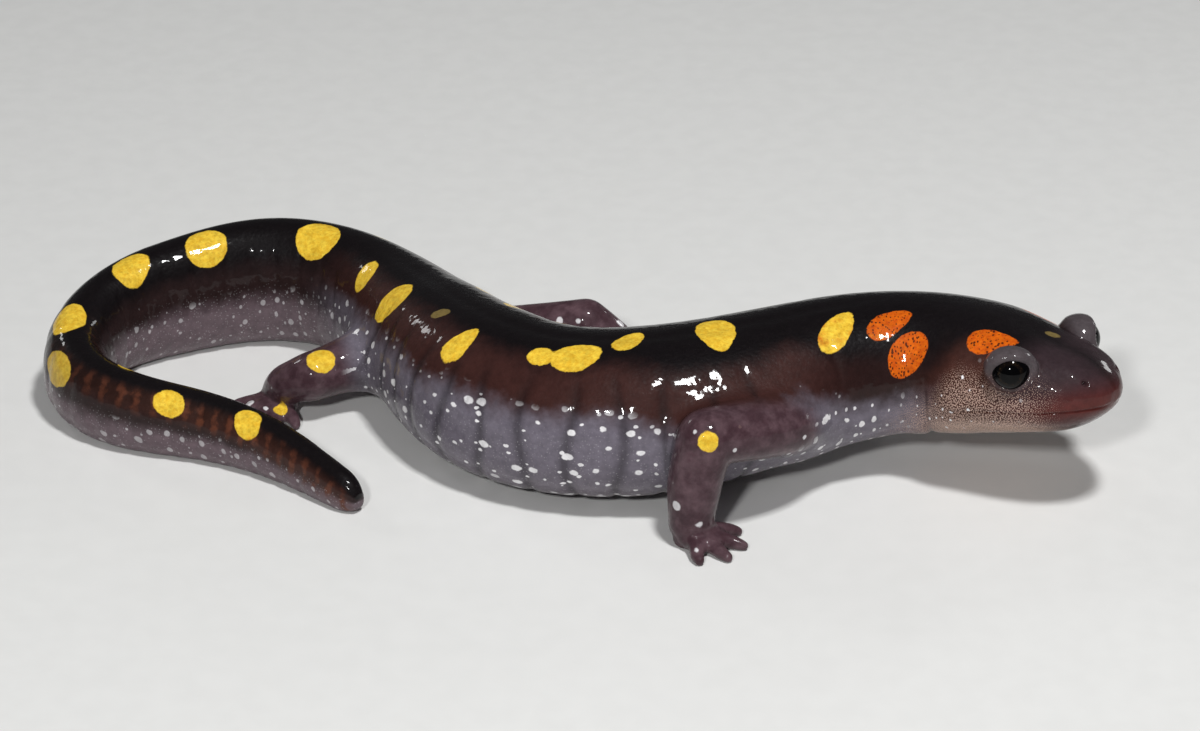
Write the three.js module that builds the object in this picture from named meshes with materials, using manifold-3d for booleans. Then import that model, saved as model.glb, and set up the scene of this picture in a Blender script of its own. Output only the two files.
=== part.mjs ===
// Spotted salamander (Ambystoma maculatum), life size, in a resting pose.
// Millimetres, +Z up. The animal lies on the plane z = 0 on its belly, tail and soles.
// The origin is the middle of the bounding box, at floor level.
//
// The body is one long form: a plan path that bends at named places, with an oval
// cross-section that changes along it. The form is parted by thin cuts into head, neck,
// trunk, pelvis and tail lengths. Eyes, lower jaw and legs are solids of their own.

import * as THREE from 'three';
import { mergeVertices } from 'three/addons/utils/BufferGeometryUtils.js';
import Module from 'manifold-3d';

const wasm = await Module();
wasm.setup();

// ---------------------------------------------------------------- driving dimensions

const TOTAL_LENGTH = 182; // snout to tail tip along the back
const GAP = 0.3; // cut between two neighbouring solids
const FLOOR = 0; // level of everything that touches the ground
const MERGE_DISTANCE = 1e-4; // vertices closer together than this are one

// Plan path. Headings are in degrees and point from the snout towards the tail.
const SNOUT_HEADING = 140;
const BENDS = [
  { name: 'neck', at: 23, span: 25.5, turn: 58 },
  { name: 'trunk', at: 62, span: 40, turn: -81 },
  { name: 'pelvis', at: 105.5, span: 34, turn: 90 },
  { name: 'tail turn', at: 140, span: 38, turn: 142 },
  { name: 'tail end', at: 164, span: 24, turn: -33 },
];

// Cross-sections: station along the path, width, height, lift of the underside, and the
// level at which the section is widest, as a share of its height. A lift below the floor
// leaves a flat where the animal rests.
const REST = -0.35;
const SECTIONS = [
  { name: 'snout', at: 0, width: 7.6, height: 5.2, lift: 11.0, level: 0.54 },
  { name: 'nostrils', at: 3.5, width: 10.8, height: 7.7, lift: 9.2, level: 0.5 },
  { name: 'eyes', at: 8.8, width: 14.6, height: 10.3, lift: 7.3, level: 0.46 },
  { name: 'cheeks', at: 12.5, width: 16.2, height: 12.0, lift: 6.1, level: 0.44 },
  { name: 'jaw corners', at: 16, width: 17.0, height: 13.3, lift: 5.1, level: 0.43 },
  { name: 'gular fold', at: 20, width: 16.4, height: 14.0, lift: 4.4, level: 0.43 },
  { name: 'neck', at: 25.5, width: 15.4, height: 14.6, lift: 3.7, level: 0.44 },
  { name: 'shoulders', at: 34, width: 16.4, height: 15.3, lift: 2.7, level: 0.44 },
  { name: 'chest', at: 42, width: 17.8, height: 15.8, lift: 1.7, level: 0.44 },
  { name: 'mid trunk', at: 55, width: 19.0, height: 16.6, lift: 0.3, level: 0.43 },
  { name: 'belly', at: 68, width: 18.8, height: 16.6, lift: REST, level: 0.42 },
  { name: 'loin', at: 80, width: 16.2, height: 15.8, lift: REST, level: 0.43 },
  { name: 'hips', at: 88, width: 13.8, height: 14.7, lift: REST, level: 0.43 },
  { name: 'vent', at: 97, width: 11.6, height: 14.0, lift: REST, level: 0.42 },
  { name: 'tail base', at: 110, width: 9.4, height: 14.4, lift: REST, level: 0.42 },
  { name: 'tail far side', at: 124, width: 8.2, height: 13.2, lift: REST, level: 0.42 },
  { name: 'tail turn', at: 139, width: 7.1, height: 10.1, lift: REST, level: 0.42 },
  { name: 'tail near side', at: 153, width: 6.1, height: 8.5, lift: REST, level: 0.42 },
  { name: 'tail end', at: 167, width: 4.9, height: 6.8, lift: REST, level: 0.42 },
  { name: 'tail tip', at: TOTAL_LENGTH, width: 3.0, height: 4.0, lift: REST, level: 0.42 },
];
const ROUNDNESS = 2.2; // exponent of the oval: 2 is an ellipse, more is squarer
const HEAD_ROLL = 6; // degrees the head leans to its left, fading out along the neck
const ROLL_START = 14; // station up to which the whole head leans
const ROLL_END = 34; // station where the lean has gone
const SNOUT_CAP = 5.5; // length over which the snout rounds off
const SNOUT_BLUNTNESS = 2.3; // exponent of that rounding: 2 is round, more is blunter
const TAIL_CAP = 3.2; // length over which the tail tip rounds off

// Lengths of the body, as stations of the cuts between them.
const BODY_NODES = [
  { name: 'head', from: 0, to: 20.5, step: 1.6, color: 0x2a2126 },
  { name: 'neck', from: 20.5, to: 33, step: 2.5, color: 0x2b2329 },
  { name: 'trunk_front', from: 33, to: 57, step: 3, color: 0x30272e },
  { name: 'trunk_rear', from: 57, to: 81, step: 3, color: 0x30272e },
  { name: 'pelvis', from: 81, to: 96, step: 3, color: 0x2a2228 },
  { name: 'tail_base', from: 96, to: 114, step: 3.2, color: 0x2a2228 },
  { name: 'tail_far', from: 114, to: 130, step: 2.7, color: 0x2a2228 },
  { name: 'tail_turn', from: 130, to: 147, step: 2.4, color: 0x2a2228 },
  { name: 'tail_near', from: 147, to: 164, step: 3, color: 0x2e2023 },
  { name: 'tail_tip', from: 164, to: TOTAL_LENGTH, step: 3, color: 0x2e2023 },
];
const BODY_SIDES = 24;
const SNOUT_STATIONS = [0.06, 0.4]; // extra sections that round off the snout
const TIP_DISTANCES = [1.1, 0.35, 0.04]; // extra sections of the tail, from its tip

// Head details.
const EYE_STATION = 9.0;
const EYE_OUT = 6.4; // eye centre to the middle plane of the head
const EYE_HEIGHT = 15.5; // eye centre above the floor
const EYE_RADIUS = 2.1;
const LID_THICKNESS = 0.3; // lid skin outside the socket
const LID_OPENING = 1.65; // radius of the round opening that shows the eye
const EYE_FORWARD = 32; // degrees the eye looks ahead of straight sideways
const EYE_UP = 13; // degrees it looks above the level
const MOUTH_CORNER = 15.5; // station where the mouth ends
const MOUTH_AT_SNOUT = 12.9; // height of the mouth line at the snout
const MOUTH_AT_CORNER = 9.5; // height of the mouth line at its corner
const EYE_FACETS = [12, 8]; // round and from top to bottom
const SOCKET_FACETS = [10, 6];

// Legs. Each joint is placed by station, distance from the middle line and height.
const LEGS = [
  {
    name: 'front_right',
    side: -1,
    color: 0x3a2c33,
    joints: {
      root: { at: 38, out: 4.2, up: 8.4, radius: 3.1 },
      upper: { at: 41, out: 8.8, up: 9.9, radius: 3.0 },
      knee: { at: 49.2, out: 11.9, up: 11.3, radius: 2.95 },
      lower: { at: 50.1, out: 12.5, up: 6.6, radius: 2.8 },
      wrist: { at: 50.4, out: 12.9, up: 2.3, radius: 2.4 },
    },
    foot: { length: 4.6, width: 4.9, heading: -34, toes: 4, spread: 96, toeLength: 3.9 },
  },
  {
    name: 'front_left',
    side: 1,
    color: 0x2a2228,
    joints: {
      root: { at: 38, out: 4.2, up: 7.4, radius: 3.1 },
      upper: { at: 38.4, out: 9.2, up: 7.6, radius: 3.0 },
      knee: { at: 37.4, out: 15.0, up: 7.3, radius: 2.7 },
      lower: { at: 35.4, out: 16.8, up: 4.6, radius: 2.4 },
      wrist: { at: 34.2, out: 17.9, up: 2.2, radius: 2.1 },
    },
    foot: { length: 4.6, width: 4.9, heading: 62, toes: 4, spread: 96, toeLength: 3.9 },
  },
  {
    name: 'hind_right',
    side: -1,
    color: 0x2a2228,
    joints: {
      root: { at: 88, out: 2.6, up: 5.2, radius: 3.2 },
      upper: { at: 87.6, out: 7.6, up: 5.2, radius: 3.0 },
      knee: { at: 87, out: 12.9, up: 5.0, radius: 2.7 },
      lower: { at: 89, out: 14.9, up: 3.6, radius: 2.3 },
      wrist: { at: 91, out: 15.4, up: 2.0, radius: 2.0 },
    },
    foot: { length: 4.8, width: 5.4, heading: -120, toes: 5, spread: 110, toeLength: 4.2 },
  },
  {
    name: 'hind_left',
    side: 1,
    color: 0x33292f,
    joints: {
      root: { at: 88, out: 2.6, up: 5.4, radius: 3.2 },
      upper: { at: 86.4, out: 8.4, up: 5.4, radius: 2.9 },
      knee: { at: 80.8, out: 16.9, up: 7.4, radius: 2.6 },
      lower: { at: 77, out: 19.6, up: 4.8, radius: 2.35 },
      wrist: { at: 74.5, out: 21.2, up: 2.1, radius: 2.05 },
    },
    foot: { length: 4.8, width: 5.4, heading: 20, toes: 5, spread: 110, toeLength: 4.2 },
  },
];
const LEG_SIDES = 9;
const UPPER_LEG_STEPS = 4;
const LOWER_LEG_STEPS = 5;
const KNEE_ROWS = 6;
const SHIN_END = { up: 0.6, scale: 0.8 }; // where the shin ends, inside the foot
const LEG_CLEARANCES = [[29, 56], [70, 101]]; // stations of the body that face a leg
const CLEARANCE_STEP = 1.5;

// A foot is a low oval palm with toes. Places are shares of the palm's length or width,
// and a toe's radii are shares of its radius in the middle.
const PALM = { up: 1.0, halfThickness: 1.25, halfLength: 0.62, ahead: 0.25, facets: [8, 5] };
const KNUCKLES = { ahead: 0.55, sweep: 0.45, across: 0.7 }; // the outer ones lie further back
const TOE_RADIUS = 0.9;
const TOE_SCALES = { root: 1.1, middle: 1, tip: 0.6 };
const TOE_HEIGHTS = { middle: 0.95, tip: 0.62 }; // shares of the radius, above the floor
const TOE_BEND = 0.55; // share of its length where a toe bends
const OUTER_TOE_LOSS = 0.5; // how much shorter toes are, for each full spread to the side
const TOE_SIDES = 5;
const TOE_STEPS = 2;

const SKIN_ROUGHNESS = 0.35;
const EYE_ROUGHNESS = 0.05;
const EYE_COLOR = 0x08080a;
const JAW_COLOR = 0x5a4548;

// ---------------------------------------------------------------- curves and path

const radians = THREE.MathUtils.degToRad;
const UP = new THREE.Vector3(0, 0, 1);
const LIMB_FACING = new THREE.Vector3(0.31, 0.27, 1);

function smoothStep(t) {
  const u = THREE.MathUtils.clamp(t, 0, 1);
  return u * u * (3 - 2 * u);
}

// Slopes of a curve through the knots that never overshoots them.
function monotoneSlopes(xs, ys) {
  const chord = ys.slice(1).map((y, i) => (y - ys[i]) / (xs[i + 1] - xs[i]));
  return ys.map((_, i) => {
    if (i === 0) return chord[0];
    if (i === ys.length - 1) return chord[i - 1];
    if (chord[i - 1] * chord[i] <= 0) return 0;
    const before = xs[i] - xs[i - 1];
    const after = xs[i + 1] - xs[i];
    const weightBefore = 2 * after + before;
    const weightAfter = after + 2 * before;
    return (weightBefore + weightAfter) / (weightBefore / chord[i - 1] + weightAfter / chord[i]);
  });
}

// A smooth function of the station through one column of SECTIONS.
function sectionCurve(key) {
  const xs = SECTIONS.map((section) => section.at);
  const ys = SECTIONS.map((section) => section[key]);
  const slopes = monotoneSlopes(xs, ys);
  return (s) => {
    const last = xs.length - 2;
    const i = THREE.MathUtils.clamp(xs.findIndex((x) => x > s) - 1, 0, last);
    const at = s >= xs[xs.length - 1] ? last : i;
    const h = xs[at + 1] - xs[at];
    const t = (s - xs[at]) / h;
    const t2 = t * t;
    const t3 = t2 * t;
    return (
      (2 * t3 - 3 * t2 + 1) * ys[at] +
      (t3 - 2 * t2 + t) * h * slopes[at] +
      (3 * t2 - 2 * t3) * ys[at + 1] +
      (t3 - t2) * h * slopes[at + 1]
    );
  };
}

const widthAt = sectionCurve('width');
const heightAt = sectionCurve('height');
const liftAt = sectionCurve('lift');
const levelAt = sectionCurve('level');

function headingAt(s) {
  let degrees = SNOUT_HEADING;
  for (const bend of BENDS) {
    degrees += bend.turn * smoothStep((s - bend.at + bend.span / 2) / bend.span);
  }
  return radians(degrees);
}

// The path in plan, summed in small steps from the snout.
const PATH_STEP = 0.25;
const PATH = [new THREE.Vector2(0, 0)];
for (let s = PATH_STEP; s <= TOTAL_LENGTH + PATH_STEP; s += PATH_STEP) {
  const heading = headingAt(s - PATH_STEP / 2);
  const step = new THREE.Vector2(Math.cos(heading), Math.sin(heading)).multiplyScalar(PATH_STEP);
  PATH.push(PATH[PATH.length - 1].clone().add(step));
}

function pathAt(s) {
  const index = Math.min(Math.floor(s / PATH_STEP), PATH.length - 2);
  return PATH[index].clone().lerp(PATH[index + 1], s / PATH_STEP - index);
}

// Height of the body's axis, which lies at the widest level of each section.
function axisHeightAt(s) {
  return liftAt(s) + levelAt(s) * heightAt(s);
}

function rollAt(s) {
  return radians(HEAD_ROLL) * (1 - smoothStep((s - ROLL_START) / (ROLL_END - ROLL_START)));
}

// A point given by its station, its distance to the animal's left, and its height, with
// the lean of the head.
function place(s, left, up) {
  const heading = headingAt(s);
  const centre = pathAt(s);
  const roll = rollAt(s);
  const rise = up - axisHeightAt(s);
  const leaned = left * Math.cos(roll) + rise * Math.sin(roll);
  return new THREE.Vector3(
    centre.x + Math.sin(heading) * leaned,
    centre.y - Math.cos(heading) * leaned,
    axisHeightAt(s) + rise * Math.cos(roll) - left * Math.sin(roll),
  );
}

// The direction from tail to snout at a station.
function forwardAt(s) {
  const heading = headingAt(s);
  return new THREE.Vector3(-Math.cos(heading), -Math.sin(heading), 0);
}

// ---------------------------------------------------------------- solids

// How much a section shrinks near the snout and the tail tip, to close them roundly.
function capFactor(s) {
  const fromSnout = Math.min(s / SNOUT_CAP, 1);
  const fromTip = Math.min((TOTAL_LENGTH - s) / TAIL_CAP, 1);
  const snout = (1 - (1 - fromSnout) ** SNOUT_BLUNTNESS) ** (1 / SNOUT_BLUNTNESS);
  return snout * Math.sqrt(Math.max(0, 1 - (1 - fromTip) ** 2));
}

function signedPower(value, power) {
  return Math.sign(value) * Math.abs(value) ** power;
}

// Points round the body at a station, grown outwards by a margin.
function bodyRing(s, margin = 0) {
  const cap = capFactor(s);
  const halfWidth = (widthAt(s) / 2) * cap + margin;
  const height = heightAt(s);
  const middle = axisHeightAt(s);
  const above = (1 - levelAt(s)) * height * cap + margin;
  const below = levelAt(s) * height * cap + margin;
  const power = 2 / ROUNDNESS;
  const floor = margin > 0 ? -Infinity : FLOOR;
  const points = [];
  for (let i = 0; i < BODY_SIDES; i += 1) {
    const angle = (2 * Math.PI * i) / BODY_SIDES;
    const out = halfWidth * signedPower(Math.cos(angle), power);
    const rise = signedPower(Math.sin(angle), power);
    const up = middle + rise * (rise > 0 ? above : below);
    points.push(place(s, out, Math.max(up, floor)));
  }
  return points;
}

// A closed solid through rings of equally many points, with a fan at each end.
function loftSolid(rings) {
  const sides = rings[0].length;
  const centreOf = (ring) => {
    const sum = ring.reduce((total, point) => total.add(point), new THREE.Vector3());
    return sum.divideScalar(ring.length);
  };
  const vertices = rings.flat();
  vertices.push(centreOf(rings[0]), centreOf(rings[rings.length - 1]));
  const first = vertices.length - 2;
  const last = vertices.length - 1;
  const end = (rings.length - 1) * sides;
  const triangles = [];
  for (let i = 0; i < sides; i += 1) {
    const j = (i + 1) % sides;
    for (let row = 0; row < end; row += sides) {
      triangles.push(row + i, row + sides + i, row + j);
      triangles.push(row + j, row + sides + i, row + sides + j);
    }
    triangles.push(first, i, j);
    triangles.push(last, end + j, end + i);
  }
  return orientedSolid(vertices, triangles);
}

// Turns vertices and triangles into a solid, with its faces pointing outwards.
function orientedSolid(vertices, triangles) {
  const volume = triangles.reduce((total, _, i) => {
    if (i % 3 !== 0) return total;
    const [a, b, c] = [0, 1, 2].map((k) => vertices[triangles[i + k]]);
    return total + a.dot(b.clone().cross(c));
  }, 0);
  const order = volume > 0 ? [0, 1, 2] : [0, 2, 1];
  const turned = [];
  for (let i = 0; i < triangles.length; i += 3) {
    turned.push(...order.map((k) => triangles[i + k]));
  }
  return new wasm.Manifold(
    new wasm.Mesh({
      numProp: 3,
      vertProperties: new Float32Array(vertices.flatMap((point) => point.toArray())),
      triVerts: new Uint32Array(turned),
    }),
  );
}

// A three.js geometry as a solid.
function solidFromGeometry(geometry) {
  const bare = geometry.clone();
  bare.deleteAttribute('normal');
  bare.deleteAttribute('uv');
  const merged = mergeVertices(bare, MERGE_DISTANCE);
  return new wasm.Manifold(
    new wasm.Mesh({
      numProp: 3,
      vertProperties: new Float32Array(merged.attributes.position.array),
      triVerts: new Uint32Array(merged.index.array),
    }),
  );
}

// A solid as a three.js geometry.
function geometryFromSolid(solid) {
  const { vertProperties, triVerts, numProp } = solid.getMesh();
  const positions = new Float32Array((vertProperties.length / numProp) * 3);
  for (let i = 0; i < positions.length / 3; i += 1) {
    positions.set(vertProperties.subarray(i * numProp, i * numProp + 3), i * 3);
  }
  const geometry = new THREE.BufferGeometry();
  geometry.setAttribute('position', new THREE.BufferAttribute(positions, 3));
  geometry.setIndex(new THREE.BufferAttribute(new Uint32Array(triVerts), 1));
  geometry.computeVertexNormals();
  return geometry;
}

function ball(centre, radius, facets) {
  const geometry = new THREE.SphereGeometry(radius, ...facets);
  geometry.rotateX(Math.PI / 2);
  geometry.translate(centre.x, centre.y, centre.z);
  return solidFromGeometry(geometry);
}

// A round bar from one point to another.
function bar(from, to, radius, sides) {
  const along = to.clone().sub(from);
  const geometry = new THREE.CylinderGeometry(radius, radius, along.length(), sides);
  geometry.translate(0, along.length() / 2, 0);
  const turn = new THREE.Quaternion().setFromUnitVectors(
    new THREE.Vector3(0, 1, 0),
    along.clone().normalize(),
  );
  geometry.applyQuaternion(turn);
  geometry.translate(from.x, from.y, from.z);
  return solidFromGeometry(geometry);
}

// A round limb through points with a radius each, swept smoothly and closed at both ends.
// Its first facet faces along a direction that no limb runs in.
function limb(points, radii, sides, steps) {
  const curve = new THREE.CatmullRomCurve3(points, false, 'centripetal');
  const rings = [];
  const across = LIMB_FACING.clone();
  for (let i = 0; i <= steps; i += 1) {
    const t = i / steps;
    const knot = Math.min(Math.floor(t * (points.length - 1)), points.length - 2);
    const blend = smoothStep(t * (points.length - 1) - knot);
    const radius = THREE.MathUtils.lerp(radii[knot], radii[knot + 1], blend);
    const centre = curve.getPoint(t);
    const along = curve.getTangent(t);
    across.addScaledVector(along, -across.dot(along)).normalize();
    const over = along.clone().cross(across);
    const ring = [];
    for (let k = 0; k < sides; k += 1) {
      const angle = (2 * Math.PI * k) / sides;
      const point = centre.clone();
      point.addScaledVector(across, radius * Math.cos(angle));
      point.addScaledVector(over, radius * Math.sin(angle));
      ring.push(point);
    }
    rings.push(ring);
  }
  return loftSolid(rings);
}

// The part of a solid on the side of a plane that the normal points to.
function keepBeyond(solid, normal, point) {
  return solid.trimByPlane(normal.toArray(), normal.dot(point));
}

// The largest of the separate bodies that a cut has left, without its slivers.
function largestBody(solid) {
  const bodies = solid.decompose();
  return bodies.reduce((best, body) => (body.volume() > best.volume() ? body : best));
}

function keepAboveFloor(solid) {
  return keepBeyond(solid, UP, new THREE.Vector3(0, 0, FLOOR));
}

// ---------------------------------------------------------------- body lengths

// Stations from one to another, closer together where the snout or the tail tip rounds.
function stations(from, to, step) {
  const count = Math.ceil((to - from) / step);
  const list = [];
  for (let i = 0; i <= count; i += 1) {
    list.push(from + ((to - from) * i) / count);
  }
  if (from === 0) list.splice(0, 1, ...SNOUT_STATIONS);
  if (to === TOTAL_LENGTH) list.splice(-1, 1, ...TIP_DISTANCES.map((distance) => to - distance));
  return list;
}

function bodyLength({ from, to, step }) {
  const start = from === 0 ? 0 : from + GAP / 2;
  const end = to === TOTAL_LENGTH ? to : to - GAP / 2;
  return loftSolid(stations(start, end, step).map((s) => bodyRing(s)));
}

// ---------------------------------------------------------------- head

function eyeAxis(side) {
  const level = axisHeightAt(EYE_STATION);
  const axis = place(EYE_STATION, side, level).sub(place(EYE_STATION, 0, level));
  const ahead = forwardAt(EYE_STATION);
  axis.multiplyScalar(Math.cos(radians(EYE_FORWARD)));
  axis.addScaledVector(ahead, Math.sin(radians(EYE_FORWARD)));
  axis.multiplyScalar(Math.cos(radians(EYE_UP)));
  axis.z = Math.sin(radians(EYE_UP));
  return axis;
}

function eyeCentre(side) {
  return place(EYE_STATION, side * EYE_OUT, EYE_HEIGHT);
}

// Adds the bulge of the lids round each eye and hollows the socket, open to the outside.
function addEyeSockets(head) {
  let solid = head;
  for (const side of [-1, 1]) {
    const centre = eyeCentre(side);
    const socketRadius = EYE_RADIUS + GAP;
    const outside = centre.clone().addScaledVector(eyeAxis(side), 3 * EYE_RADIUS);
    const lids = ball(centre, socketRadius + LID_THICKNESS, EYE_FACETS);
    const socket = ball(centre, socketRadius, SOCKET_FACETS);
    const opening = bar(centre, outside, LID_OPENING, EYE_FACETS[0]);
    solid = solid.add(lids).subtract(socket).subtract(opening);
  }
  return solid;
}

// Parts the head along the mouth line and down behind the mouth corners.
function partJaw(head) {
  const corner = place(MOUTH_CORNER, 0, MOUTH_AT_CORNER);
  const snout = place(0, 0, MOUTH_AT_SNOUT);
  const along = corner.clone().sub(snout).normalize();
  const across = place(MOUTH_CORNER, -1, MOUTH_AT_CORNER).sub(corner);
  const up = along.clone().cross(across).normalize();
  const back = forwardAt(MOUTH_CORNER).negate();
  const half = GAP / 2;
  const above = keepBeyond(head, up, corner.clone().addScaledVector(up, half));
  const behind = keepBeyond(head, back, corner.clone().addScaledVector(back, half));
  const below = keepBeyond(head, up.clone().negate(), corner.clone().addScaledVector(up, -half));
  const ahead = forwardAt(MOUTH_CORNER);
  return {
    head: above.add(behind),
    lowerJaw: keepBeyond(below, ahead, corner.clone().addScaledVector(ahead, half)),
  };
}

// ---------------------------------------------------------------- legs

// A flat foot at the end of a leg, with toes spread round its heading.
function footSolid(wrist, { length, width, heading, toes, spread, toeLength }) {
  const direction = (degrees) => {
    const angle = radians(degrees);
    return new THREE.Vector3(Math.cos(angle), Math.sin(angle), 0);
  };
  const ahead = direction(heading);
  const sole = new THREE.Vector3(wrist.x, wrist.y, FLOOR + PALM.up);
  const palm = new THREE.SphereGeometry(1, ...PALM.facets);
  palm.rotateX(Math.PI / 2);
  palm.scale(length * PALM.halfLength, width / 2, PALM.halfThickness);
  palm.rotateZ(radians(heading));
  palm.translate(...sole.clone().addScaledVector(ahead, length * PALM.ahead).toArray());
  const knuckles = sole.clone().addScaledVector(ahead, length * KNUCKLES.ahead);
  const radii = Object.values(TOE_SCALES).map((scale) => scale * TOE_RADIUS);
  let foot = solidFromGeometry(palm);
  for (let i = 0; i < toes; i += 1) {
    const share = i / (toes - 1) - 0.5;
    const toeDirection = direction(heading + spread * share);
    const reach = toeLength * (1 - OUTER_TOE_LOSS * Math.abs(share));
    const root = knuckles.clone();
    root.addScaledVector(direction(heading + 90), width * KNUCKLES.across * share);
    root.addScaledVector(ahead, -length * KNUCKLES.sweep * Math.abs(share));
    const middle = root.clone().addScaledVector(toeDirection, reach * TOE_BEND);
    const tip = root.clone().addScaledVector(toeDirection, reach);
    middle.z = FLOOR + TOE_RADIUS * TOE_HEIGHTS.middle;
    tip.z = FLOOR + TOE_RADIUS * TOE_HEIGHTS.tip;
    foot = foot.add(limb([root, middle, tip], radii, TOE_SIDES, TOE_STEPS));
  }
  return foot;
}

// One leg as three solids: upper leg, lower leg and foot. It ends clear of the body.
function legSolids({ side, joints, foot }, clearance) {
  const { root, upper, knee, lower, wrist } = joints;
  const jointList = [root, upper, knee, lower, wrist];
  const points = jointList.map((joint) => place(joint.at, side * joint.out, joint.up));
  const radii = jointList.map((joint) => joint.radius);
  const [, upperPoint, kneePoint, lowerPoint, wristPoint] = points;
  const sole = wristPoint.clone();
  sole.z = FLOOR + SHIN_END.up;
  const thighSolid = limb(points.slice(0, 3), radii.slice(0, 3), LEG_SIDES, UPPER_LEG_STEPS);
  const kneeSolid = ball(kneePoint, knee.radius, [LEG_SIDES, KNEE_ROWS]);
  const shinPoints = [...points.slice(2), sole];
  const shinRadii = [...radii.slice(2), wrist.radius * SHIN_END.scale];
  const shinSolid = limb(shinPoints, shinRadii, LEG_SIDES, LOWER_LEG_STEPS);
  const shaft = thighSolid.add(kneeSolid).add(shinSolid);
  const whole = keepAboveFloor(shaft.add(footSolid(wristPoint, foot))).subtract(clearance);
  const thigh = kneePoint.clone().sub(upperPoint).normalize();
  const shin = lowerPoint.clone().sub(kneePoint).normalize();
  const kneeNormal = thigh.add(shin).normalize();
  const half = GAP / 2;
  const wristNormal = UP.clone().negate();
  const kneeFar = kneePoint.clone().addScaledVector(kneeNormal, half);
  const kneeNear = kneePoint.clone().addScaledVector(kneeNormal, -half);
  const wristFar = wristPoint.clone().addScaledVector(wristNormal, half);
  const wristNear = wristPoint.clone().addScaledVector(wristNormal, -half);
  const beyondKnee = keepBeyond(whole, kneeNormal, kneeFar);
  return {
    upper: largestBody(keepBeyond(whole, kneeNormal.clone().negate(), kneeNear)),
    lower: largestBody(keepBeyond(beyondKnee, wristNormal.clone().negate(), wristNear)),
    foot: largestBody(keepBeyond(whole, wristNormal, wristFar)),
  };
}

// The body near the legs, grown by the gap, so that no leg touches it.
function bodyClearance() {
  const grown = LEG_CLEARANCES.map(([from, to]) =>
    loftSolid(stations(from, to, CLEARANCE_STEP).map((s) => bodyRing(s, GAP))),
  );
  return grown.reduce((whole, length) => whole.add(length));
}

// ---------------------------------------------------------------- assembly

const salamander = new THREE.Group();

function addNode(name, solid, color, roughness = SKIN_ROUGHNESS) {
  const material = new THREE.MeshStandardMaterial({ color, roughness, metalness: 0 });
  const mesh = new THREE.Mesh(geometryFromSolid(solid), material);
  mesh.name = name;
  salamander.add(mesh);
}

for (const node of BODY_NODES) {
  const solid = bodyLength(node);
  if (node.name === 'head') {
    const { head, lowerJaw } = partJaw(addEyeSockets(solid));
    addNode('head', head, node.color);
    addNode('lower_jaw', lowerJaw, JAW_COLOR);
  } else {
    addNode(node.name, solid, node.color);
  }
}

addNode('eye_left', ball(eyeCentre(1), EYE_RADIUS, EYE_FACETS), EYE_COLOR, EYE_ROUGHNESS);
addNode('eye_right', ball(eyeCentre(-1), EYE_RADIUS, EYE_FACETS), EYE_COLOR, EYE_ROUGHNESS);

const clearance = bodyClearance();
for (const leg of LEGS) {
  const solids = legSolids(leg, clearance);
  addNode(`leg_${leg.name}_upper`, solids.upper, leg.color);
  addNode(`leg_${leg.name}_lower`, solids.lower, leg.color);
  addNode(`foot_${leg.name}`, solids.foot, leg.color);
}

// The origin goes to the middle of the bounding box, at floor level.
const bounds = new THREE.Box3().setFromObject(salamander);
const middle = bounds.getCenter(new THREE.Vector3());
salamander.position.set(-middle.x, -middle.y, -bounds.min.z);

export default salamander;
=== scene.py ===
"""A spotted salamander, life size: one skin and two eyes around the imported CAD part.

Lengths are in millimetres until a mesh is made, and stations run from the snout (0) to the
tail tip along the back. "left" is the animal's left and "up" the height above the floor.
"""

from math import cos, pi, radians, sin, sqrt

import bpy
import numpy as np
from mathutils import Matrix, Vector, kdtree


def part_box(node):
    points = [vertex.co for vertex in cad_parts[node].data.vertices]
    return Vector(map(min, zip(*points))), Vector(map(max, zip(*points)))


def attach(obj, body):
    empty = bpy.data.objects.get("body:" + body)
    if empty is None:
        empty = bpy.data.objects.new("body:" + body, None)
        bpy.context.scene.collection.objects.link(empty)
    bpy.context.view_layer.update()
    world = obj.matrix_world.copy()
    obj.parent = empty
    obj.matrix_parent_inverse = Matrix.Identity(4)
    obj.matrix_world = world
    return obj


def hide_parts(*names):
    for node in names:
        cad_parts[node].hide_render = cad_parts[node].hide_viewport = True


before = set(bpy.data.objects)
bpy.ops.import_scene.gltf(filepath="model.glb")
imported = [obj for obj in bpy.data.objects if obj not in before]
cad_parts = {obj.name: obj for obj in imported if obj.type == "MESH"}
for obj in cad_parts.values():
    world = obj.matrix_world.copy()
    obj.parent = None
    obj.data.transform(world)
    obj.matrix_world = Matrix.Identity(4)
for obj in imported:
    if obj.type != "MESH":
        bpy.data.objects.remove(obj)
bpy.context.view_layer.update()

MM = 0.001
TAU = 2 * pi

# ---- the animal's dimensions

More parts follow.
